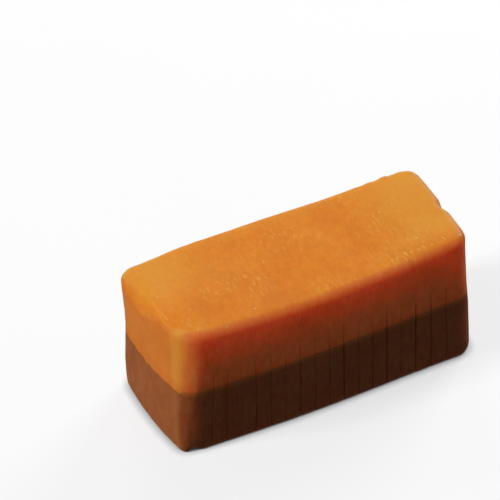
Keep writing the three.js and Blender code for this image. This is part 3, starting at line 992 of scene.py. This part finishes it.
# Cocoa swallows most of the light, which leaves a dull, even brown with only a hint of red at its edges.
CHOCOLATE = {
    "top": "#9c4e26", "painted_light": "#a66238", "end": "#a05028", "side": "#8e4c24", "clouds": "#773514",
    "specks": "#a66238", "worn_and_highlit": "#a65c34", "scored": "#301408", "seam": "#8f4a20", "smear": SMEAR,
}
milk_caramel = caramel_finish(
    "cut_milk_caramel", MILK, skin=(2.0, 0.5, 0.35), fresh=(6.0, 0.5, 0.6), roughness=0.42
)
chocolate_caramel = caramel_finish(
    "cut_chocolate_caramel", CHOCOLATE, skin=(1.5, 0.35, 0.15), fresh=(8.0, 0.35, 0.15), roughness=0.46
)

# %% The blocks
relief = relief_tree()
chocolate = run_tree(relief, chocolate_mesh, "chocolate_block", finish=chocolate_caramel)
caramel = run_tree(relief, caramel_mesh, "caramel_block", finish=milk_caramel)

# %% Nibs and grains
PIECE_TONE = (0.8, 0.8, 0.8)  # mm over which the tone of the pieces changes
NIBS = {"pieces_per_square_mm": 0.5, "half_width": 0.05, "half_length": 0.17, "half_height": 0.02}


def plain_finish(name, colour, pale, roughness):
    """The finish of pieces that are too small for more than a change of tone."""
    material, tree = new_material(name)
    tone = tinted(tree, srgb(colour), pattern(tree, PIECE_TONE), srgb(pale), 1.0)
    return finish_material(
        material, {"Base Color": tone, "Roughness": roughness, "Specular IOR Level": 0.15}
    )


# Sugar that has set out of the caramel takes on its colour, but is paler and glints more.
sugar = plain_finish("set_sugar", "#ffb060", "#ffc47c", 0.3)
# The thin nibs of milk caramel have dried through: a little paler than the top, and no red glow.
dry_caramel = plain_finish("dried_milk_caramel", "#ff8018", "#ff9430", 0.45)
grains = run_tree(scatter_tree(seed=5), caramel_mesh, "sugar_grains", finish=sugar)
nibs = run_tree(scatter_tree(seed=11), caramel_mesh, "caramel_nibs", finish=dry_caramel, **NIBS)
edge_nibs = run_tree(row_tree(seed=3), caramel_mesh, "edge_nibs", finish=dry_caramel)

# %% [markdown]
# ## Table and light
#
# A pale table and soft studio light. The key lamp comes from the left, a little behind the block, so the
# top and the left end are bright and the long front lies in shade, with a red glow under its top edge. A
# weaker lamp behind on the right picks out that end, and a third draws a faint sheen over the top.

# %% Table
TABLE_RADIUS = 3  # in metres, so that its edge is out of sight
TABLE_TONE = (40, 40, 40)  # mm over which the tone of the table changes
# A painted glow, which stands for the light from the studio's walls. It fails close to the block, within a
# reach in mm, and so paints a contact shadow there.
BOUNCED = {"reach": 1.0, "from": 0.3, "strength": 1.25}

bpy.ops.mesh.primitive_circle_add(vertices=96, radius=TABLE_RADIUS, fill_type="NGON")
table = bpy.context.object
table.name = "table"
table.visible_diffuse = False
table.visible_glossy = False
# Pressed laminate: an even, slightly warm white with hardly any gloss.
laminate, tree = new_material("white_laminate")
colour = tinted(tree, srgb("#c8c7c6"), pattern(tree, TABLE_TONE), srgb("#c2c1c0"), 0.5)
# The glow is painted light, and where it fails near the block it is a painted contact shadow.
occluded = add(tree, "ShaderNodeAmbientOcclusion", {"Distance": BOUNCED["reach"] * MM}).outputs["AO"]
glow = add(tree, "ShaderNodeMapRange", {0: occluded, 1: BOUNCED["from"], 4: BOUNCED["strength"]})
finish_material(laminate, {
    "Base Color": colour, "Roughness": 0.6, "Emission Color": srgb("#ffffff"), "Emission Strength": glow,
})
table.data.materials.append(laminate)

# %% Light
BLOCK_MIDDLE = Vector((0, 0, HEIGHT / 2))
LAMPS = {  # turn round the block, rise, distance and size in mm, power in watts
    "key": (-98, 43, 900, 220, 9.5),
    "rim": (120, 26, 420, 200, 1.6),
    "sheen": (165, 34, 420, 140, 0.35),
}
STUDIO = {"Color": srgb("#e0f2ff"), "Strength": 0.17}

for name, (lamp_turn, lamp_rise, distance, size, power) in LAMPS.items():
    lamp = bpy.data.lights.new(name, "AREA")
    lamp.size = size * MM
    lamp.energy = power
    placed(lamp, BLOCK_MIDDLE, math.radians(lamp_turn), math.radians(lamp_rise), distance)
    print(name, "lamp of", power, "W at", distance, "mm")
world = bpy.data.worlds.new("studio")
world.use_nodes = True
for key, value in STUDIO.items():
    world.node_tree.nodes["Background"].inputs[key].default_value = value
bpy.context.scene.world = world

# %% [markdown]
# ## The film
#
# A camera holds bright light back before it clips. Here that matters for the red: under the lit top it is
# bright enough to be held back, so the glow stays strong a little way into the shade. Filmic or AgX would
# do this too, but they also grey the table and the orange, so the curve is given point by point.

# %% The camera's response
WHITE = 2.2  # the light that is shown as white
SHOULDER = [(0.22, 0.215), (0.66, 0.48), (1.1, 0.65)]  # light, and how bright it is shown
ALL_COLOURS = 3  # the number of the curve that red, green and blue share

view = bpy.context.scene.view_settings
view.view_transform = "Standard"
view.use_curve_mapping = True
view.curve_mapping.white_level = (WHITE, WHITE, WHITE)
for light, shown in SHOULDER:
    view.curve_mapping.curves[ALL_COLOURS].points.new(light / WHITE, shown)
view.curve_mapping.update()
print("light of", WHITE, "is shown as white")

# %% Pieces on the root, and the sizes of the whole
for piece, node, slot in (
    (chocolate, "chocolate_layer", "chocolate_caramel"),
    (caramel, "caramel_layer", "caramel"),
):
    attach(piece, "root")
    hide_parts(node)
for piece in (grains, nibs, edge_nibs):
    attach(piece, "root")
table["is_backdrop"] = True
size = {"cad": [list(corner) for corner in cad_box], "visual": [list(corner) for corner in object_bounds()]}
print("boxes in mm:", {key: [[round(v / MM, 2) for v in c] for c in box] for key, box in size.items()})
